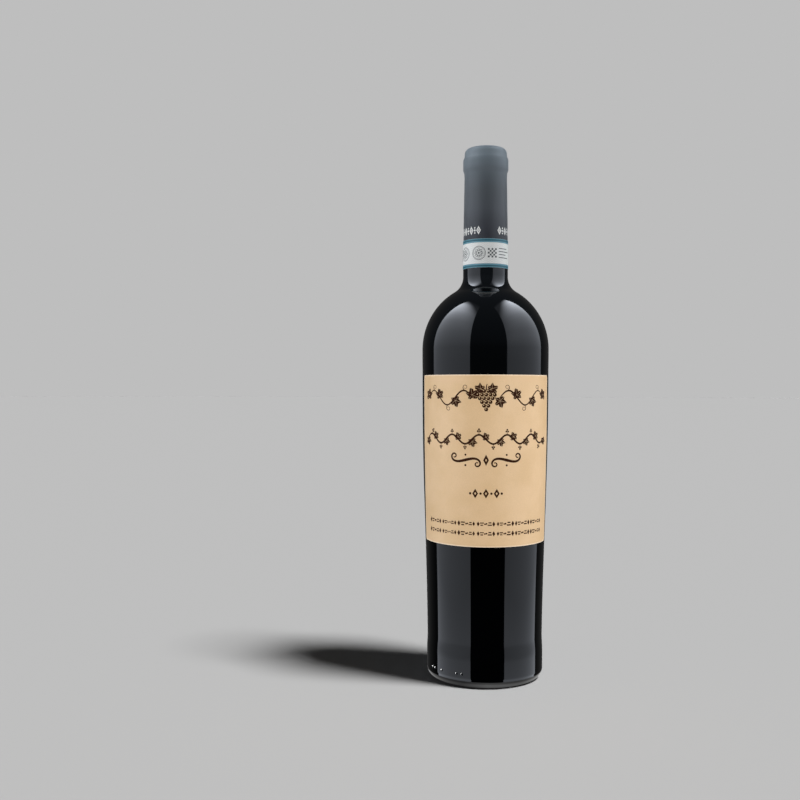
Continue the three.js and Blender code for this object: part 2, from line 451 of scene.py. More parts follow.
wall_line = curve(
    (waist_radius, waist_height),
    (waist_radius + waist_spread, waist_height + taper_handle),
    (wall_radius, taper_top - taper_handle),
    (wall_radius, taper_top),
    72,
)


def wall_radius_at(height):
    return np.interp(height, wall_line[:, 1], wall_line[:, 0])


capsule_wall = 0.3 * mm
capsule_gap = 0.1 * mm
crown_round = 3.4 * mm
crown_flat = 9.8 * mm
total_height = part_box("capsule")[1].z


def capsule_line(depth):
    """The capsule's surface, or one at an even depth below it, from the skirt up to the axis."""
    sides = np.array((
        (13.95, 258), (13.75, 283), (13.28, 311.5), (13.4, 314.2), (13.91, 315.45),
        (14.13, 316.2), (14.13, 322.4), (13.91, 323.15), (13.32, 324.4),
    )) * mm
    sides[:, 0] -= depth
    centre = (crown_flat, total_height - crown_round)
    corner = arc(centre, (crown_round - depth, crown_round - depth), 0, 90, 14)
    return outline(sides, corner, (0, total_height - depth))


glass_line = outline(
    curve((0, punt_depth), (punt_crown_radius, punt_depth), punt_side, (punt_radius, punt_lip), 30),
    arc((punt_radius + punt_lip, punt_lip + bearing_lift), (punt_lip, punt_lip), 180, 270, 6),
    arc((foot_radius, heel_arc_top), (heel_radius - foot_radius, heel_arc_top - bearing_lift), -90, 0, 48),
    curve(
        (heel_radius, heel_band_top),
        (heel_radius, heel_band_top + crease_handle),
        (waist_radius, waist_height - crease_handle),
        (waist_radius, waist_height),
        16,
    ),
    wall_line,
    (body_radius, shoulder_start),
    shoulder_line(),
    (neck_radius, neck_bare_top),
    capsule_line(capsule_wall + capsule_gap),
)
glass_line = dense(glass_line, 2.5 * mm)


def glass_relief(angle, radius, height):
    """The unevenness of blown glass, the mould's two seams and the base plate's line."""
    if height > neck_bare_top or (radius < foot_radius and height < punt_depth):
        return 0.0
    point = Vector((math.sin(angle) * radius, math.cos(angle) * radius, height * 0.6)) / wave_length
    out = wave_size * noise.noise(point)
    to_seam = abs(math.cos(angle)) * radius
    out += seam_size * math.exp(-((to_seam / seam_width) ** 2))
    to_line = (height - plate_line_height) / plate_line_width
    return out + plate_line_size * math.exp(-(to_line ** 2))


seam_offsets = np.array((-1.6, -0.9, -0.5, -0.25, 0, 0.25, 0.5, 0.9, 1.6))
even_angles = np.arange(0, 360, 2.0)
near_seam = np.minimum(abs(even_angles - 90), abs(even_angles - 270)) < 2.1
seam_angles = np.concatenate((seam_offsets + 90, seam_offsets + 270))
glass_angles = np.radians(np.sort(np.concatenate((even_angles[~near_seam], seam_angles))))


def shader_group(name, inputs, outputs):
    """An empty shader node group with named sockets, and its two end nodes."""
    group = bpy.data.node_groups.new(name, "ShaderNodeTree")
    for label, value in inputs.items():
        kind = "NodeSocketFloat"
        if isinstance(value, tuple):
            kind = "NodeSocketColor" if len(value) == 4 else "NodeSocketVector"
        socket = group.interface.new_socket(label, in_out="INPUT", socket_type=kind)
        socket.default_value = value
    for label, kind in outputs.items():
        group.interface.new_socket(label, in_out="OUTPUT", socket_type=kind)
    start = group.nodes.new("NodeGroupInput")
    end = group.nodes.new("NodeGroupOutput")
    return group, start, end


# Fine grain of a given size: an even speckle of two noises, for paper, ink, glass and foil
grain, grain_in, grain_out = shader_group(
    "fine_grain",
    {"Place": (0.0, 0.0, 0.0), "Size": 0.001, "Stretch": (1.0, 1.0, 1.0)},
    {"Fine": "NodeSocketFloat", "Broad": "NodeSocketFloat"},
)
stretched = add_node(
    grain, "ShaderNodeVectorMath", {"operation": "MULTIPLY"},
    in_0=grain_in.outputs["Place"], in_1=grain_in.outputs["Stretch"],
)
grain_scale = formula(grain, "DIVIDE", 1.0, grain_in.outputs["Size"])
fine_noise = add_node(
    grain, "ShaderNodeTexNoise", None,
    Vector=stretched.outputs["Vector"], Scale=grain_scale, Detail=3.0, Roughness=0.6,
)
broad_noise = add_node(
    grain, "ShaderNodeTexNoise", None,
    Vector=stretched.outputs["Vector"], Scale=formula(grain, "DIVIDE", grain_scale, 9.0), Detail=2.0,
)
grain.links.new(fine_noise.outputs["Fac"], grain_out.inputs["Fine"])
grain.links.new(broad_noise.outputs["Fac"], grain_out.inputs["Broad"])


def add_group(tree, group, **sockets):
    return add_node(tree, "ShaderNodeGroup", {"node_tree": group}, **sockets)


def object_place(tree):
    return add_node(tree, "ShaderNodeTexCoord").outputs["Object"]


def relief_of(tree, main, height, strength, distance):
    """Gives a material's surface the fine relief of a grain."""
    bump = add_node(tree, "ShaderNodeBump", None, Strength=strength, Distance=distance, Height=height)
    tree.links.new(bump.outputs["Normal"], main.inputs["Normal"])


glass_before_wine = (0.0006, 0.0008, 0.001, 1)
glass_before_air = (0.006, 0.007, 0.008, 1)
fill_level = (243 * mm, 249 * mm)
dark_glass, glass_tree, glass_main = material_of(
    "dark_glass", Base_Color=glass_before_wine, Roughness=0.04, IOR=1.52,
)
glass_place = object_place(glass_tree)
glass_grain = add_group(glass_tree, grain, Place=glass_place, Size=2.2 * mm)
glass_film = ramp_between(glass_tree, glass_grain.outputs["Broad"], 0.35, 0.75, 0.025, 0.06)
glass_tree.links.new(glass_film, glass_main.inputs["Roughness"])
glass_split = add_node(glass_tree, "ShaderNodeSeparateXYZ", None, Vector=glass_place)
above_wine = ramp_between(glass_tree, glass_split.outputs["Z"], *fill_level)
glass_colour = mixed_colour(glass_tree, above_wine, glass_before_wine, glass_before_air)
glass_tree.links.new(glass_colour, glass_main.inputs["Base Color"])
relief_of(glass_tree, glass_main, glass_grain.outputs["Broad"], 0.35, 0.01 * mm)

piece(
    "bottle_body",
    turned("bottle_body", glass_line, glass_angles, glass_relief),
    dark_glass,
    "dark_glass",
    "glass_bottle",
)

# Code dots. Five small domes in the mould's heel, left of the front, which mark the bottle's
# cavity; they are the same glass as the body.

dot_angles = (-61.2, -56.4, -45.9, -27.7, -22.0)
dot_height = 8.3 * mm
dot_radius = 0.85 * mm
dot_rise = 0.5 * mm
dot_sink = 0.3 * mm
dot_around = 16
dot_rings = 6


def lens(width, rise, sink, around, rings):
    """A small dome on the -Y side of the origin, closed behind it."""
    points = [(0.0, -rise, 0.0)]
    for i in range(1, rings + 1):
        lift = math.cos(math.pi / 2 * i / rings)
        spread = math.sin(math.pi / 2 * i / rings)
        for k in range(around):
            turn = 2 * math.pi * k / around
            points.append((spread * width * math.cos(turn), -rise * lift, spread * width * math.sin(turn)))
    points.append((0.0, sink, 0.0))
    faces = []
    for k in range(around):
        after = (k + 1) % around
        faces.append((0, 1 + k, 1 + after))
        for i in range(rings - 1):
            row = 1 + i * around
            faces.append((row + k, row + around + k, row + around + after, row + after))
        last = 1 + (rings - 1) * around
        faces.append((last + k, len(points) - 1, last + after))
    return np.array(points), faces


def joined(name, shapes, smooth=False):
    """One mesh of several closed shapes, each given as points and faces, with outward normals."""
    points = []
    faces = []
    for shape_points, shape_faces in shapes:
        start = sum(len(group) for group in points)
        points.append(np.asarray(shape_points, float))
        faces.extend(tuple(start + corner for corner in face) for face in shape_faces)
    mesh = bpy.data.meshes.new(name)
    mesh.from_pydata(np.concatenate(points).tolist(), [], faces)
    outward = bmesh.new()
    outward.from_mesh(mesh)
    bmesh.ops.recalc_face_normals(outward, faces=outward.faces)
    outward.to_mesh(mesh)
    outward.free()
    if smooth:
        mesh.shade_smooth()
    return mesh


def turned_about_axis(points, angle):
    """Points turned round the bottle's axis, towards +X for a positive angle from the front."""
    turn = math.radians(angle)
    x = points[:, 0] * math.cos(turn) - points[:, 1] * math.sin(turn)
    y = points[:, 0] * math.sin(turn) + points[:, 1] * math.cos(turn)
    return np.column_stack((x, y, points[:, 2]))


dots = []
for angle in dot_angles:
    dome, dome_faces = lens(dot_radius, dot_rise, dot_sink, dot_around, dot_rings)
    dome = dome + np.array((0, -heel_radius, dot_height))
    dots.append((turned_about_axis(dome, angle), dome_faces))
code_dots = piece("code_dots", joined("code_dots", dots, smooth=True), dark_glass, "dark_glass")
dot_lamp(code_dots)

# Bearing stipples. The ring that the bottle stands on is knurled in the mould with short radial
# bars, so that only their tops touch the table; they are the same glass as the body.

stipple_ring = 29.65 * mm
stipple_step = 1.45 * mm
stipple_length = 2.4 * mm
stipple_width = 0.75 * mm
stipple_height = 0.3 * mm


def marks_tree():
    """Marks set at even steps along a path, lying along it, every other one turned."""
    tree = bpy.data.node_groups.new("marks_on_path", "GeometryNodeTree")
    tree.is_modifier = True
    sockets = (
        ("Path", "NodeSocketGeometry"), ("Mark", "NodeSocketObject"), ("Step", "NodeSocketFloat"),
        ("Size", "NodeSocketFloat"), ("Uneven", "NodeSocketFloat"), ("Turn", "NodeSocketFloat"),
        ("Paint", "NodeSocketMaterial"),
    )
    for label, kind in sockets:
        tree.interface.new_socket(label, in_out="INPUT", socket_type=kind)
    tree.interface.new_socket("Marks", in_out="OUTPUT", socket_type="NodeSocketGeometry")
    given = tree.nodes.new("NodeGroupInput").outputs
    line = add_node(tree, "GeometryNodeMeshToCurve", None, Mesh=given["Path"])
    even = add_node(
        tree, "GeometryNodeResampleCurve", {"mode": "LENGTH"},
        Curve=line.outputs["Curve"], Length=given["Step"],
    )
    heading = add_node(tree, "GeometryNodeInputTangent")
    lying = add_node(
        tree, "FunctionNodeAlignRotationToVector", {"axis": "X"}, Vector=heading.outputs["Tangent"],
    )
    number = add_node(tree, "GeometryNodeInputIndex")
    odd = formula(tree, "MODULO", number.outputs["Index"], 2.0)
    swing = add_node(
        tree, "FunctionNodeAxisAngleToRotation", None,
        Axis=(0.0, 1.0, 0.0), Angle=formula(tree, "MULTIPLY", odd, given["Turn"]),
    )
    placed = add_node(
        tree, "FunctionNodeRotateRotation", {"rotation_space": "LOCAL"},
        Rotation=lying.outputs["Rotation"], Rotate_By=swing.outputs["Rotation"],
    )
    chance = add_node(
        tree, "FunctionNodeRandomValue", {"data_type": "FLOAT"},
        in_2=formula(tree, "SUBTRACT", 1.0, given["Uneven"]),
        in_3=formula(tree, "ADD", 1.0, given["Uneven"]), Seed=7,
    )
    shape = add_node(tree, "GeometryNodeObjectInfo", None, Object=given["Mark"])
    copies = add_node(
        tree, "GeometryNodeInstanceOnPoints", None,
        Points=even.outputs["Curve"], Instance=shape.outputs["Geometry"],
        Rotation=placed.outputs["Rotation"],
        Scale=formula(tree, "MULTIPLY", chance.outputs[1], given["Size"]),
    )
    real = add_node(tree, "GeometryNodeRealizeInstances", None, Geometry=copies.outputs["Instances"])
    painted = add_node(
        tree, "GeometryNodeSetMaterial", None, Geometry=real.outputs["Geometry"], Material=given["Paint"],
    )
    end = tree.nodes.new("NodeGroupOutput")
    tree.links.new(painted.outputs["Geometry"], end.inputs["Marks"])
    return tree


marks_on_path = marks_tree()


def marks_along(name, path, mark, paint, step, size=1.0, uneven=0.0, turn=0.0, closed=False):
    """The mesh of one mark repeated along a path of points."""
    edges = [(i, i + 1) for i in range(len(path) - 1)]
    if closed:
        edges.append((len(path) - 1, 0))
    line = bpy.data.meshes.new(name + "_path")
    line.from_pydata([tuple(point) for point in path], edges, [])
    holder = bpy.data.objects.new(name + "_path", line)
    pattern = bpy.data.objects.new(name + "_mark", mark)
    for helper in (holder, pattern):
        scene.collection.objects.link(helper)
    modifier = holder.modifiers.new("marks", "NODES")
    modifier.node_group = marks_on_path
    values = {"Mark": pattern, "Step": step, "Size": size, "Uneven": uneven, "Turn": turn, "Paint": paint}
    for socket in marks_on_path.interface.items_tree:
        if socket.name in values:
            modifier[socket.identifier] = values[socket.name]
    holder.update_tag()
    view = bpy.context.evaluated_depsgraph_get()
    view.update()
    made = bpy.data.meshes.new_from_object(holder.evaluated_get(view))
    made.name = name
    for helper in (holder, pattern):
        bpy.data.objects.remove(helper)
    return made


stipple_points, stipple_faces = lens(1.0, 1.0, 0.4, 10, 3)
stipple_size = np.array((stipple_width / 2, stipple_length / 2, stipple_height))
stipple_points = stipple_points[:, (0, 2, 1)] * stipple_size
stipple_mark = joined("stipple_mark", [(stipple_points, stipple_faces)], smooth=True)
ring_turns = np.radians(np.arange(0, 360, 2.5))
stipple_path = np.column_stack((
    stipple_ring * np.cos(ring_turns),
    stipple_ring * np.sin(ring_turns),
    np.full(len(ring_turns), stipple_height),
))
piece(
    "bearing_stipples",
    marks_along("bearing_stipples", stipple_path, stipple_mark, dark_glass, stipple_step, closed=True),
    dark_glass,
    "dark_glass",
)

# Capsule. A pewter grey shrink cap of laminated foil over the finish, pressed down on its bead, with
# a disc set into its top, a glued seam behind and a satin varnish. Its colour is darker towards the
# skirt and paler up the crown, where the paler crown is painted light.

capsule_seam_turn = 130.0
capsule_seam_rise = 0.1 * mm
capsule_seam_half = 3.2
crown_ring = (6.9 * mm, 8.1 * mm)
crown_press = 0.22 * mm


def crown_line():
    """The capsule's outside with the pressed ring of its top disc."""
    line = dense(capsule_line(0), 2.2 * mm)
    flat = line[:, 1] > total_height - 0.01 * mm
    rim = line[~flat]
    ring_low, ring_high = crown_ring
    press = [
        (ring_high + 0.7 * mm, 0), (ring_high + 0.35 * mm, 0.15), (ring_high, 0.75),
        (ring_high - 0.3 * mm, 1), (ring_low + 0.3 * mm, 1), (ring_low, 0.75),
        (ring_low - 0.35 * mm, 0.2), (ring_low - 0.8 * mm, 0.05), (ring_low - 2.5 * mm, 0.03),
        (2 * mm, 0.02), (0, 0.02),
    ]
    disc = [(radius, total_height - depth * crown_press) for radius, depth in press]
    return outline(rim, (crown_flat, total_height), disc)


def capsule_relief(angle, radius, height):
    """The shrunk foil's faint unevenness and the step of its glued seam."""
    if radius < 13 * mm:
        return 0.0
    point = Vector((math.sin(angle), math.cos(angle), height / (30 * mm))) * 1.7
    out = 0.03 * mm * noise.noise(point)
    past_seam = (math.degrees(angle) - capsule_seam_turn + 180) % 360 - 180
    if abs(past_seam) < capsule_seam_half:
        out += capsule_seam_rise * min(1, (capsule_seam_half - abs(past_seam)) / 0.8)
    return out


capsule_outside = crown_line()
capsule_inside = capsule_line(capsule_wall)[::-1]
capsule_angles = np.radians(np.sort(np.concatenate((
    np.arange(0, 360, 2.0), capsule_seam_turn + np.array((-3.4, -2.8, 2.8, 3.4)),
))))
# Foil colour by height: darker towards the skirt, and paler up the crown, where the paler crown is painted
# light
foil_tones_and_painted_light = (
    (262.0, (0.009, 0.009, 0.013)), (282.8, (0.032, 0.034, 0.040)), (290.6, (0.048, 0.053, 0.059)),
    (302.3, (0.053, 0.060, 0.065)), (310.1, (0.066, 0.078, 0.086)), (315.3, (0.083, 0.098, 0.109)),
    (320.5, (0.101, 0.122, 0.134)), (327.0, (0.138, 0.168, 0.182)),
)
rubbed_foil = (0.15, 0.165, 0.18, 1)
pewter_foil, foil_tree, foil_main = material_of(
    "pewter_foil", Base_Color=(0.085, 0.095, 0.105, 1), Roughness=0.45, IOR=1.5, Specular_IOR_Level=0.3,
    Sheen_Weight=0.22, Sheen_Roughness=0.5, Sheen_Tint=(0.95, 1.0, 1.0, 1),
)
foil_place = object_place(foil_tree)
foil_split = add_node(foil_tree, "ShaderNodeSeparateXYZ", None, Vector=foil_place)
foil_grain = add_group(foil_tree, grain, Place=foil_place, Size=0.22 * mm)
foil_rub = add_group(foil_tree, grain, Place=foil_place, Size=1.5 * mm, Stretch=(1.0, 1.0, 0.2))
foil_varied = mixed_colour(
    foil_tree, ramp_between(foil_tree, foil_rub.outputs["Broad"], 0.3, 0.7, 0.0, 0.1),
    shades(foil_tree, foil_split.outputs["Z"], foil_tones_and_painted_light, mm), rubbed_foil,
)
foil_satin = ramp_between(foil_tree, foil_rub.outputs["Fine"], 0.3, 0.7, 0.4, 0.52)
foil_tree.links.new(foil_varied, foil_main.inputs["Base Color"])
foil_tree.links.new(foil_satin, foil_main.inputs["Roughness"])
relief_of(foil_tree, foil_main, foil_grain.outputs["Fine"], 0.3, 0.02 * mm)
piece(
    "capsule_foil",
    turned("capsule_foil", outline(capsule_inside, capsule_outside), capsule_angles, capsule_relief),
    pewter_foil,
    "capsule_foil",
    "capsule",
)

# Capsule print. Three groups of small off-white lozenges and dots stamped round the foil near its
# skirt, drawn flat as thin films and laid round the capsule.

capsule_print_height = 277.0 * mm
print_radius = 13.8 * mm
group_step = 2 * math.pi * print_radius / 3
group_turn = 70.0
unit_step = 5.1 * mm
dot_level = 1.6 * mm
print_lift = 0.03 * mm
print_sink = 0.02 * mm
last_mark_slack = 1.00001


def film(points, faces, lift=print_lift, sink=print_sink):
    """A flat drawing of points (along, up) and faces made into a closed film, its front at -Y."""
    flat = np.asarray(points, float)
    count = len(flat)
    front = np.column_stack((flat[:, 0], np.full(count, -lift), flat[:, 1]))
    back = np.column_stack((flat[:, 0], np.full(count, sink), flat[:, 1]))
    used = {}
    for face in faces:
        for a, b in zip(face, face[1:] + face[:1]):
            used[(a, b)] = True
    rims = [edge for edge in used if (edge[1], edge[0]) not in used]
    solid = list(faces)
    solid += [tuple(count + corner for corner in reversed(face)) for face in faces]
    solid += [(b, a, count + a, count + b) for a, b in rims]
    return np.concatenate((front, back)), solid


def band_between(inner, outer, closed=True, rows=1):
    """Faces between two lines of the same number of points, in even rows."""
    count = len(inner)
    points = np.concatenate([inner + (outer - inner) * i / rows for i in range(rows + 1)])
    last = count if closed else count - 1
    faces = []
    for row in range(rows):
        start = row * count
        for i in range(last):
            j = (i + 1) % count
            faces.append((start + i, start + count + i, start + count + j, start + j))
    return points, faces


def ring_line(centre, width, height, count):
    turns = np.linspace(0, 2 * math.pi, count, endpoint=False)
    return np.column_stack((centre[0] + width * np.cos(turns), centre[1] + height * np.sin(turns)))


def disc_shape(centre, radius, count=16):
    return band_between(ring_line(centre, 0.02 * radius, 0.02 * radius, count),
                        ring_line(centre, radius, radius, count))


def ring_shape(centre, radius, thickness, count=40):
    return band_between(ring_line(centre, radius - thickness, radius - thickness, count),
                        ring_line(centre, radius, radius, count))


def lozenge_line(centre, width, height, steps=6):
    corners = np.array(((width, 0), (0, height), (-width, 0), (0, -height), (width, 0))) / 2
    line = []
    for start, end in zip(corners, corners[1:]):
        for i in range(steps):
            line.append(start + (end - start) * i / steps)
    return np.array(line) + np.array(centre)


def lozenge_shape(centre, width, height, hollow=0.0, steps=6):
    inside = max(hollow, 0.02)
    return band_between(lozenge_line(centre, width * inside, height * inside, steps),
                        lozenge_line(centre, width, height, steps))


def wrapped(mesh, radius_at, turn=0.0, rise=None, lap=None):
    """Lays a flat drawing round the bottle's axis. Along is measured on the surface, and rise and
    lap are those of the sheet that it is printed on."""
    count = len(mesh.vertices)
    flat = np.empty(count * 3)
    mesh.vertices.foreach_get("co", flat)
    along, out, up = flat.reshape(count, 3).T
    radius = radius_at(up)
    angle = math.radians(turn) + along / radius
    level = up + (rise(along, up) if rise else 0.0)
    if lap:
        radius = radius + lap(along)
    around = np.column_stack(((radius - out) * np.sin(angle), -(radius - out) * np.cos(angle), level))
    mesh.vertices.foreach_set("co", around.ravel())
    mesh.update()
    return mesh


capsule_skirt = capsule_line(0)[:2]


def capsule_radius_at(height):
    """The foil's face from the skirt to the first bend of its outline."""
    return np.interp(height, capsule_skirt[:, 1], capsule_skirt[:, 0])


def ink_of(name, size, grain_range, deep, pale, **values):
    """A printed film's material, its colour uneven like the grain of what it is printed on."""
    ink, tree, main = material_of(name, **values)
    speckle = add_group(tree, grain, Place=object_place(tree), Size=size)
    tone = ramp_between(tree, speckle.outputs["Fine"], *grain_range)
    tree.links.new(mixed_colour(tree, tone, deep, pale), main.inputs["Base Color"])
    return ink


def drawn(name, shapes, lift=print_lift):
    """One mesh of flat shapes, each as a thin film."""
    return joined(name, [film(*shape, lift=lift) for shape in shapes])


cream_foil = ink_of(
    "cream_foil_print", 0.18 * mm, (0.35, 0.65), (0.52, 0.51, 0.47, 1), (0.72, 0.71, 0.66, 1),
    Base_Color=(0.68, 0.67, 0.62, 1), Roughness=0.4,
)
unit_shapes = []
for k in range(4):
    along = (k - 1.5) * unit_step
    unit_shapes.append(lozenge_shape((along, 0), 3.0 * mm, 5.3 * mm, 0.5))
    unit_shapes.append(lozenge_shape((along, 0), 0.9 * mm, 1.7 * mm))
for k in range(3):
    along = (k - 1) * unit_step
    unit_shapes.append(disc_shape((along, dot_level), 0.5 * mm))
    unit_shapes.append(disc_shape((along, -dot_level), 0.5 * mm))
    unit_shapes.append(disc_shape((along, 0), 0.66 * mm))
capsule_mark = drawn("capsule_mark", unit_shapes)
capsule_row = [(i * group_step / 8, 0, capsule_print_height) for i in range(-8, 9)]
capsule_marks = marks_along(
    "capsule_print", capsule_row, capsule_mark, cream_foil, group_step / last_mark_slack,
)
piece(
    "capsule_print",
    wrapped(capsule_marks, capsule_radius_at, group_turn),
    cream_foil,
    "capsule_print",
)

# Neck band. A white paper strip glued round the neck, half on the foil's skirt and half on the
# glass, its ends lapped at the back, with teal borders and a pale engine-turned ground.

band_bottom = 254.1 * mm
band_top = 271.8 * mm
skirt_bottom = capsule_skirt[0, 1]
band_border = 2.35 * mm
band_inner_radius = 14.01 * mm
band_thickness = 0.16 * mm
band_slope = 0.008
band_lap = 5 * mm
band_lap_ramp = 1.6 * mm
band_middle_radius = 14.1 * mm
band_round = 2 * math.pi * band_middle_radius
band_half = band_round / 2 + band_lap / 2


def band_radius_at(height):
    """The strip's outer face, straight on the glass and tapered over the foil."""
    over_foil = np.maximum(0.0, np.asarray(height) - skirt_bottom)
    return band_inner_radius + band_thickness - band_slope * over_foil


def sheet(name, half_width_at, heights, columns, radius_at, thickness, turn, lap=None, rise=None):
    """A closed paper sheet round the axis, with its place in mm as its UV. half_width_at gives its
    half width at a height, lap(along) lifts it where it lies on its own end, and
    rise(along, height) is how much higher it lies there than at its middle."""
    points = []
    places = []
    for side in (0.0, thickness):
        for height in heights:
            half = half_width_at(height)
            for t in np.linspace(-1, 1, columns):
                along = half * t
                radius = float(radius_at(height))
                out = radius - side + (lap(along) if lap else 0.0)
                angle = math.radians(turn) + along / radius
                level = height + (rise(along, height) if rise else 0.0)
                points.append((out * math.sin(angle), -out * math.cos(angle), level))
                places.append((along / mm, height / mm))
    rows = len(heights)
    faces = []

    def corner(side, row, column):
        return side * rows * columns + row * columns + column

    for row in range(rows - 1):
        for column in range(columns - 1):
            front = [corner(0, row, column), corner(0, row, column + 1),
                     corner(0, row + 1, column + 1), corner(0, row + 1, column)]
            faces.append(tuple(front))
            faces.append(tuple(rows * columns + index for index in reversed(front)))
    rim = [(0, column) for column in range(columns)]
    rim += [(row, columns - 1) for row in range(1, rows)]
    rim += [(rows - 1, column) for column in range(columns - 2, -1, -1)]
    rim += [(row, 0) for row in range(rows - 2, 0, -1)]
    for first, second in zip(rim, rim[1:] + rim[:1]):
        faces.append((corner(0, *second), corner(0, *first), corner(1, *first), corner(1, *second)))
    mesh = bpy.data.meshes.new(name)
    mesh.from_pydata(points, [], faces)
    layer = mesh.uv_layers.new(name="place_mm")
    for loop in mesh.loops:
        layer.data[loop.index].uv = places[loop.vertex_index]
    mesh.shade_smooth()
    mesh.set_sharp_from_angle(angle=math.radians(35))
    return mesh


# How near a sheet's cut edge is, from the place on it in mm, its half width, its lower and upper
# edge and how far in from them the cut shows
cut_edge, edge_in, edge_out = shader_group(
    "cut_edge",
    {"Place": (0.0, 0.0, 0.0), "Half Width": 50.0, "Low": 0.0, "High": 100.0, "Reach": 0.5},
    {"Edge": "NodeSocketFloat"},
)
edge_place = add_node(cut_edge, "ShaderNodeSeparateXYZ", None, Vector=edge_in.outputs["Place"])
from_side = formula(
    cut_edge, "SUBTRACT", edge_in.outputs["Half Width"],
    formula(cut_edge, "ABSOLUTE", edge_place.outputs["X"]),
)
from_low = formula(cut_edge, "SUBTRACT", edge_place.outputs["Y"], edge_in.outputs["Low"])
from_high = formula(cut_edge, "SUBTRACT", edge_in.outputs["High"], edge_place.outputs["Y"])
nearest = formula(cut_edge, "MINIMUM", from_side, formula(cut_edge, "MINIMUM", from_low, from_high))
far_share = formula(cut_edge, "DIVIDE", nearest, edge_in.outputs["Reach"])
near_edge = formula(cut_edge, "SUBTRACT", 1.0, far_share)
cut_edge.links.new(
    add_node(cut_edge, "ShaderNodeClamp", None, Value=near_edge).outputs["Result"],
    edge_out.inputs["Edge"],
)


def band_lift(along):
    """The strip's right end rises over its left end at the back."""
    risen = np.clip((along - (band_round / 2 - band_lap)) / band_lap_ramp, 0.0, 1.0)
    return band_thickness * 1.15 * np.where(along > band_half, 0.0, risen)


seal_white = (0.69, 0.68, 0.64, 1)
seal_line = (0.4, 0.415, 0.38, 1)
seal_warm = (0.5, 0.56, 0.46, 1)
seal_core = (0.6, 0.63, 0.63, 1)
teal = (0.03, 0.158, 0.198, 1)
deep_teal = (0.014, 0.084, 0.112, 1)
pale_teal = (0.15, 0.3, 0.36, 1)
seal_paper, seal_tree, seal_main = material_of(
    "seal_paper", Base_Color=(0.6, 0.62, 0.61, 1), Roughness=0.55,
)
seal_place = add_node(seal_tree, "ShaderNodeUVMap", {"uv_map": "place_mm"}).outputs["UV"]
seal_split = add_node(seal_tree, "ShaderNodeSeparateXYZ", None, Vector=seal_place)
seal_grain = add_group(seal_tree, grain, Place=object_place(seal_tree), Size=0.12 * mm)
seal_along = seal_split.outputs["X"]
seal_up = formula(seal_tree, "SUBTRACT", seal_split.outputs["Y"], band_bottom / mm)
seal_down = formula(seal_tree, "SUBTRACT", (band_top - band_bottom) / mm, seal_up)
from_edge = formula(seal_tree, "MINIMUM", seal_up, seal_down)


def seal_stripe(away, half, soft):
    """A mask of a line along both edges of the strip, in mm from the edge."""
    off = formula(seal_tree, "ABSOLUTE", formula(seal_tree, "SUBTRACT", from_edge, away))
    return ramp_between(seal_tree, off, half, half + soft, 1.0, 0.0)


engine_turned = 0.0
for pitch, swing_height, phase in ((5.5, 2.6, 0.0), (5.5, -2.6, 0.0), (7.4, 1.8, 1.3)):
    turn = formula(seal_tree, "MULTIPLY_ADD", seal_along, 2 * math.pi / pitch, phase)
    wave = formula(seal_tree, "SINE", turn)
    shifted = formula(seal_tree, "MULTIPLY_ADD", wave, swing_height / 2, seal_up)
    near_line = formula(seal_tree, "PINGPONG", shifted, 0.6)
    turned_line = ramp_between(seal_tree, near_line, 0.05, 0.16, 1.0, 0.0)
    engine_turned = formula(seal_tree, "MAXIMUM", engine_turned, turned_line)
engine_turned = formula(seal_tree, "MULTIPLY", engine_turned, 0.45)
seal_colour = mixed_colour(seal_tree, engine_turned, seal_white, seal_line)
warm_side = ramp_between(seal_tree, seal_along, 6.0, 22.0, 0.0, 0.25)
seal_colour = mixed_colour(seal_tree, warm_side, seal_colour, seal_warm)
border_colour = mixed_colour(seal_tree, seal_stripe(1.05, 0.28, 0.12), teal, deep_teal)
border_colour = mixed_colour(seal_tree, seal_stripe(1.8, 0.1, 0.1), border_colour, pale_teal)
in_border = ramp_between(
    seal_tree, from_edge, band_border / mm - 0.12, band_border / mm + 0.12, 1.0, 0.0,
)
seal_colour = mixed_colour(seal_tree, in_border, seal_colour, border_colour)
seal_edge = add_group(
    seal_tree, cut_edge, Place=seal_place, Half_Width=band_half / mm,
    Low=band_bottom / mm, High=band_top / mm, Reach=0.22,
)
seal_bare = formula(seal_tree, "MULTIPLY", seal_edge.outputs["Edge"], 0.5)
seal_colour = mixed_colour(seal_tree, seal_bare, seal_colour, seal_core)
seal_fibre = ramp_between(seal_tree, seal_grain.outputs["Fine"], 0.3, 0.7, 0.9, 1.06)
seal_colour = mixed_colour(seal_tree, 1.0, seal_colour, seal_fibre, "MULTIPLY")
seal_tree.links.new(seal_colour, seal_main.inputs["Base Color"])
relief_of(seal_tree, seal_main, seal_grain.outputs["Fine"], 0.35, 0.02 * mm)

piece(
    "neck_band",
    sheet(
        "neck_band", lambda height: band_half, np.linspace(band_bottom, band_top, 9), 145,
        band_radius_at, band_thickness, 0.0, band_lift,
    ),
    seal_paper,
    "seal_paper",
    "neck_seal_band",
)

# Neck band print. Grey ink on the strip: rings with a small rosette, a chequered square and a
# stack of short rules, printed twice round the neck, the second time clear of the strip's cut end.

band_middle = (band_bottom + band_top) / 2
band_repeat = band_round / 2 + 1.6 * mm
ring_radius = 4.3 * mm
ring_places = (-15.2, -4.2)
chequer_place = 4.3
chequer_step = 1.15
rules_place = 8.7
rule_lengths = (7.5, 9.4, 6.2, 8.6)
lozenges_place = 22.0
grey_ink = ink_of(
    "grey_ink", 0.1 * mm, (0.35, 0.65), (0.035, 0.038, 0.038, 1), (0.085, 0.09, 0.088, 1),
    Base_Color=(0.1, 0.105, 0.105, 1), Roughness=0.6,
)


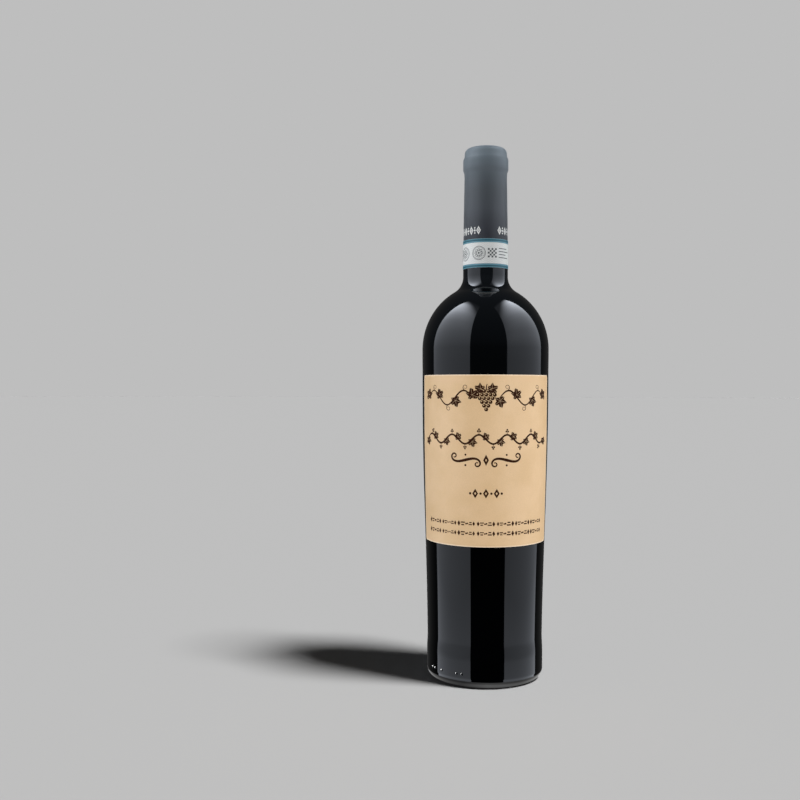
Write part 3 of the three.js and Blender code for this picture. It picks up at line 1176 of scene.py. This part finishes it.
def rule_shape(start, end, level, thickness):
    steps = max(2, math.ceil((end - start) / (0.7 * mm)))
    along = np.linspace(start, end, steps)
    low = np.column_stack((along, np.full(steps, level - thickness / 2)))
    high = np.column_stack((along, np.full(steps, level + thickness / 2)))
    return band_between(high, low, closed=False)


def rosette_shapes(centre, radius):
    """A ring with a flower of small rings in it."""
    shapes = [
        ring_shape(centre, radius, 0.3 * mm),
        ring_shape(centre, radius * 0.84, 0.16 * mm),
        disc_shape(centre, 0.62 * mm),
    ]
    for k in range(8):
        turn = 2 * math.pi * k / 8
        reach = radius * 0.46
        spot = (centre[0] + reach * math.cos(turn), centre[1] + reach * math.sin(turn))
        shapes.append(ring_shape(spot, 0.78 * mm, 0.3 * mm, 18))
    return shapes


def band_print_shapes(start):
    """One repeat of the strip's print, as flat shapes round its middle."""
    shapes = []
    for along in ring_places:
        shapes += rosette_shapes((start + along * mm, band_middle), ring_radius)
    for row in range(5):
        for column in range(5):
            if (row + column) % 2 == 0:
                along = start + (chequer_place + (column - 2) * chequer_step) * mm
                level = band_middle + (row - 2) * chequer_step * mm
                shapes.append(rule_shape(along - 0.56 * mm, along + 0.56 * mm, level, 1.12 * mm))
    for row, length in enumerate(rule_lengths):
        level = band_middle + (2.9 - row * 1.85) * mm
        first = start + rules_place * mm
        shapes.append(rule_shape(first, first + length * mm, level, 0.48 * mm))
    for row in range(3):
        spot = (start + lozenges_place * mm, band_middle + (row - 1) * 2.6 * mm)
        shapes.append(lozenge_shape(spot, 1.7 * mm, 2.3 * mm, 0.4))
    return shapes


band_drawn = drawn("neck_band_print", band_print_shapes(0.0) + band_print_shapes(band_repeat))
piece("neck_band_print", wrapped(band_drawn, band_radius_at, lap=band_lift), grey_ink, "seal_print")

# Front label. A cream paper sheet with rounded corners, die cut and glued round the front half of
# the body; its cut edges show the paler core of the stock, and a narrow strip of its face inside
# them is painted paler as a highlight.

label_bottom = 85.3 * mm
label_top = 187.7 * mm
label_width = 99.4 * mm
label_turn = 1.0
label_corner = 1.4 * mm
label_gap = 0.08 * mm
label_thickness = 0.2 * mm
label_end_rise = 0.6 * mm


def label_radius_at(height):
    """The sheet's outer face."""
    return wall_radius_at(height) + label_gap + label_thickness


def label_rise(along, height):
    """The sheet is cut straight, so round the tapered wall the ends of its lower edge rise."""
    lower = (label_top - height) / (label_top - label_bottom)
    return label_end_rise * lower * (along / (label_width / 2)) ** 2


def label_half_at(height):
    to_edge = min(height - label_bottom, label_top - height)
    cut = 0.0
    if to_edge < label_corner:
        cut = label_corner - math.sqrt(max(0.0, label_corner ** 2 - (label_corner - to_edge) ** 2))
    return label_width / 2 - cut


corner_steps = np.array((0, 0.04, 0.15, 0.33, 0.6, 0.95, 1.4)) * mm
label_heights = np.concatenate((
    label_bottom + corner_steps,
    np.linspace(label_bottom + label_corner, label_top - label_corner, 62)[1:-1],
    label_top - corner_steps[::-1],
))
cream_shades = ((0.6, 0.398, 0.202, 1), (0.65, 0.442, 0.243, 1))
# The stock's paler core, also used as a painted highlight on the face along the cut edges
paper_core_and_highlight = (0.9, 0.74, 0.55, 1)
label_paper, paper_tree, paper_main = material_of(
    "label_paper", Base_Color=(0.63, 0.43, 0.24, 1), Roughness=0.5, IOR=1.45, Specular_IOR_Level=0.8,
)
paper_place = object_place(paper_tree)
paper_fibre = add_group(paper_tree, grain, Place=paper_place, Size=0.28 * mm, Stretch=(1.0, 1.0, 0.45))
paper_cloud = add_group(paper_tree, grain, Place=paper_place, Size=2.4 * mm)
cloudy = ramp_between(paper_tree, paper_cloud.outputs["Broad"], 0.3, 0.7)
paper_tone = mixed_colour(paper_tree, cloudy, *cream_shades)
paper_fleck = ramp_between(paper_tree, paper_fibre.outputs["Fine"], 0.3, 0.72, 0.94, 1.04)
paper_tone = mixed_colour(paper_tree, 1.0, paper_tone, paper_fleck, "MULTIPLY")
paper_on_sheet = add_node(paper_tree, "ShaderNodeUVMap", {"uv_map": "place_mm"}).outputs["UV"]
paper_edge = add_group(
    paper_tree, cut_edge, Place=paper_on_sheet,
    Half_Width=label_width / 2 / mm, Low=label_bottom / mm, High=label_top / mm, Reach=0.7,
)
# Near the cut edges the paper is paler: the core on the cut face, and a painted highlight on the front
# face
edge_core_and_highlight_mask = formula(paper_tree, "MULTIPLY", paper_edge.outputs["Edge"], 0.85)
paper_tone = mixed_colour(paper_tree, edge_core_and_highlight_mask, paper_tone, paper_core_and_highlight)
paper_matt = ramp_between(paper_tree, paper_fibre.outputs["Broad"], 0.3, 0.7, 0.44, 0.58)
paper_tree.links.new(paper_tone, paper_main.inputs["Base Color"])
paper_tree.links.new(paper_matt, paper_main.inputs["Roughness"])
relief_of(paper_tree, paper_main, paper_fibre.outputs["Fine"], 0.4, 0.03 * mm)

front_label = piece(
    "front_label_sheet",
    sheet(
        "front_label_sheet", label_half_at, label_heights, 97, label_radius_at, label_thickness,
        label_turn, rise=label_rise,
    ),
    label_paper,
    "label_paper",
    "front_label",
)
label_lamp(front_label)

# Label vine scroll. Dark brown matt ink printed across the top of the label: a bunch of grapes
# under two leaves, between two vine scrolls with leaves and tendrils.

scroll_height = 174.0 * mm
scroll_start = 8.0 * mm
scroll_wave = 11.2 * mm
scroll_swing = 4.3 * mm
grape_rows = (4, 5, 4, 3, 2, 1)
grape_top = 178.0 * mm
grape_radius = 1.17 * mm
grape_pitch = 2.5 * mm
grape_stalk_foot = (0.1 * mm, 178.6 * mm)
top_leaf_foot = (3.4 * mm, 179.2 * mm)
leaf_turns = (0, 20, 32, 45, 62, 78, 95, 110, 125, 145, 165, 180)
leaf_reach = (1, 0.8, 0.55, 0.72, 0.95, 0.72, 0.5, 0.62, 0.78, 0.62, 0.42, 0.12)
leaf_veins = (-176, -125, -62, 0, 62, 125, 176)
vein_gap = 0.13 * mm
leaf_lift = 0.036 * mm

brown_ink = ink_of(
    "brown_ink", 0.14 * mm, (0.4, 0.75), (0.03, 0.0078, 0.0024, 1), (0.07, 0.026, 0.01, 1),
    Base_Color=(0.036, 0.01, 0.003, 1), Roughness=0.75, Specular_IOR_Level=0.1,
)


def stroke_shape(line, widths):
    """A pen stroke along a line, with widths in mm that run evenly from its start to its end."""
    line = np.asarray(line, float)
    heading = np.gradient(line, axis=0)
    heading /= np.linalg.norm(heading, axis=1)[:, None]
    spread = np.interp(np.linspace(0, 1, len(line)), np.linspace(0, 1, len(widths)), widths) * mm
    across = np.column_stack((-heading[:, 1], heading[:, 0])) * spread[:, None] / 2
    return band_between(line + across, line - across, closed=False)


def curl_line(start, heading, length, turn, power=2.0, count=40):
    """A line that curls up more and more, by turn degrees in all."""
    t = np.linspace(0, 1, count)
    angle = np.radians(heading + turn * t ** power)
    steps = np.column_stack((np.cos(angle), np.sin(angle))) * length / (count - 1)
    return np.array(start) + np.concatenate((np.zeros((1, 2)), np.cumsum(steps[:-1], axis=0)))


def leaf_shapes(foot, size, heading):
    """A five-lobed vine leaf in sectors between its veins, its tip turned to heading degrees."""
    shapes = []
    for first, last in zip(leaf_veins, leaf_veins[1:]):
        turns = np.linspace(first, last, 10)
        reach = size * np.interp(np.abs(turns), leaf_turns, leaf_reach)
        reach *= 1 + 0.06 * np.sin(np.radians(13 * turns))
        angles = np.radians(heading + turns)
        outer = np.column_stack((np.cos(angles), np.sin(angles))) * reach[:, None]
        middle = math.radians(heading + (first + last) / 2)
        clear = vein_gap / 2 / math.sin(math.radians((last - first) / 2))
        inner_point = np.array(foot) + clear * np.array((math.cos(middle), math.sin(middle)))
        shapes.append(band_between(inner_point + outer * 0.05, inner_point + outer, closed=False, rows=3))
    return shapes


def wave_line(start, end, swing, half_wave, level, count):
    along = np.linspace(start, end, count)
    return np.column_stack((along, level + swing * np.sin(math.pi * (along - start) / half_wave)))


def mirrored(shapes):
    return [(points * np.array((-1, 1)), faces) for points, faces in shapes]


def label_print(name, *meshes):
    """Drawings laid on the label as one piece in brown ink."""
    whole = bmesh.new()
    for mesh in meshes:
        whole.from_mesh(mesh)
    made = bpy.data.meshes.new(name)
    whole.to_mesh(made)
    whole.free()
    return piece(name, wrapped(made, label_radius_at, label_turn, label_rise), brown_ink, "label_ink")


def leaf_mark(name, size, stalk):
    """A leaf on a curved stalk, hanging below the stem that it grows from."""
    stem = curl_line((0, 0), -70, stalk, -25, 1.0, 5)
    shapes = [stroke_shape(stem, (0.32, 0.32))]
    shapes += leaf_shapes(tuple(stem[-1]), size, -78)
    return drawn(name, shapes, leaf_lift)


def marks_on_vine(name, line, mark, count, uneven):
    """Marks in brown ink along a vine's stem, by turns below and above it."""
    path = [(along, 0, up) for along, up in line]
    length = float(np.linalg.norm(np.diff(line, axis=0), axis=1).sum())
    return marks_along(name, path, mark, brown_ink, length / (count + 0.0001), uneven=uneven, turn=math.pi)


scroll_end = scroll_start + 3 * scroll_wave
scroll_right = wave_line(scroll_start, scroll_end, scroll_swing, scroll_wave, scroll_height, 97)
scroll_stem = np.interp(np.linspace(0, 1, 97), (0, 0.15, 1), (0.5, 1.0, 0.55))
first_curl = curl_line((scroll_start, scroll_height), 200, 5.5 * mm, -250)
last_curl = curl_line((scroll_end, scroll_height), -50, 7 * mm, 400, 1.4)
scroll_shapes = [
    stroke_shape(scroll_right, scroll_stem),
    stroke_shape(first_curl, (0.5, 0.25)),
]
for k in range(3):
    crest = scroll_start + (k + 0.5) * scroll_wave
    side = 1 if k % 2 == 0 else -1
    foot = (crest - 1.5 * mm, scroll_height + side * (scroll_swing - 0.4 * mm))
    tendril = curl_line(foot, side * 25, 9.5 * mm, side * 420, 1.6)
    scroll_shapes.append(stroke_shape(tendril, (0.42, 0.2)))
scroll_shapes.append(stroke_shape(last_curl, (0.55, 0.22)))
scroll_shapes += mirrored(scroll_shapes)
top_leaves = leaf_shapes(top_leaf_foot, 3.7 * mm, 22)
scroll_shapes += top_leaves + mirrored(top_leaves)
scroll_shapes.append(stroke_shape(curl_line(grape_stalk_foot, 100, 3.6 * mm, -40, 1.0, 8), (0.75, 0.5)))
for row, number in enumerate(grape_rows):
    level = grape_top - row * grape_pitch * 0.87
    for k in range(number):
        spot = np.array(((k - (number - 1) / 2) * grape_pitch, level))
        shine = spot + np.array((-0.3, 0.32)) * mm
        scroll_shapes.append(band_between(
            ring_line(shine, 0.34 * mm, 0.34 * mm, 18), ring_line(spot, grape_radius, grape_radius, 18),
            rows=2,
        ))
scroll_leaf = leaf_mark("scroll_leaf", 4.0 * mm, 1.7 * mm)
label_print(
    "label_vine_scroll",
    drawn("vine_scroll", scroll_shapes),
    marks_on_vine("scroll_leaves", scroll_right, scroll_leaf, 3, 0.06),
    marks_on_vine("scroll_leaves", scroll_right * np.array((-1, 1)), scroll_leaf, 3, 0.06),
)

# Label running vine. The same ink: one waving vine with leaves and berries across the label, in
# the middle of its height.

running_height = 149.4 * mm
running_half = 42.3 * mm
running_wave = 8.46 * mm
running_swing = 2.7 * mm
berry_lift = 0.04 * mm
berry_inset = 12

running_line = wave_line(-running_half, running_half, running_swing, running_wave, running_height, 241)
running_stem = np.interp(np.linspace(-1, 1, 241), (-1, -0.9, 0.9, 1), (0.45, 1.05, 1.05, 0.45))
berry_shapes = [
    disc_shape((offset * mm, 2.0 * mm + rise * mm), 0.55 * mm, 12)
    for offset, rise in ((-0.62, 0), (0.62, 0), (0, 1.05))
]
berry_shapes.append(stroke_shape(((0, 0), (0, 1.6 * mm)), (0.3, 0.3)))
label_print(
    "label_running_vine",
    drawn("running_stem", [stroke_shape(running_line, running_stem)]),
    marks_on_vine("running_leaves", running_line, leaf_mark("running_leaf", 3.0 * mm, 1.3 * mm), 10, 0.07),
    marks_on_vine(
        "running_berries", running_line[berry_inset:-berry_inset],
        drawn("berry_mark", berry_shapes, berry_lift), 9, 0.08,
    ),
)

# Label flourish. The same ink: two mirrored pairs of pen curls with dots, about a hollow lozenge,
# under the running vine.

flourish_height = 137.1 * mm
flourish_reach = 12.4 * mm

flourish_shapes = []
for side in (-1, 1):
    half_curl = curl_line((flourish_reach, flourish_height), -14, 17.5 * mm, 430, 2.7, 70)
    if side < 0:
        half_curl = np.array((2 * flourish_reach, 2 * flourish_height)) - half_curl
    flourish_shapes.append(stroke_shape(half_curl, (1.7, 0.6)))
for side in (1, -1):
    flourish_shapes.append(disc_shape((flourish_reach, flourish_height + side * 3.1 * mm), 0.62 * mm))
flourish_shapes += mirrored(flourish_shapes)
flourish_shapes.append(lozenge_shape((0, flourish_height), 3.4 * mm, 6.6 * mm, 0.28))
label_print("label_flourish", drawn("label_flourish", flourish_shapes))

# Label small rows. The same ink: a short row of hollow lozenges and dots, and two fine rows of
# small marks near the foot of the label, every other mark turned.

lozenge_row_height = 117.3 * mm
fine_rows = (99.2 * mm, 93.4 * mm)
fine_row_half = 38.0 * mm
fine_row_step = 5.6 * mm

row_shapes = []
for along in (-6.4, 0.0, 6.4):
    row_shapes.append(lozenge_shape((along * mm, lozenge_row_height), 3.5 * mm, 5.6 * mm, 0.34))
for along in (-9.4, -3.2, 3.2, 9.4):
    row_shapes.append(disc_shape((along * mm, lozenge_row_height), 0.72 * mm))
dash_mark = drawn("dash_mark", [
    lozenge_shape((-1.7 * mm, 0), 1.7 * mm, 3.1 * mm),
    rule_shape(-0.6 * mm, 1.75 * mm, 0.62 * mm, 0.66 * mm),
    rule_shape(-0.3 * mm, 1.35 * mm, -0.72 * mm, 0.66 * mm),
    disc_shape((2.45 * mm, -0.1 * mm), 0.5 * mm, 10),
])
dash_rows = []
for level in fine_rows:
    path = [(along, 0, level) for along in np.linspace(-fine_row_half, fine_row_half, 39)]
    dash_rows.append(marks_along(
        "dash_row", path, dash_mark, brown_ink, fine_row_step, uneven=0.12, turn=math.pi,
    ))
label_print("label_small_rows", drawn("lozenge_row", row_shapes), *dash_rows)
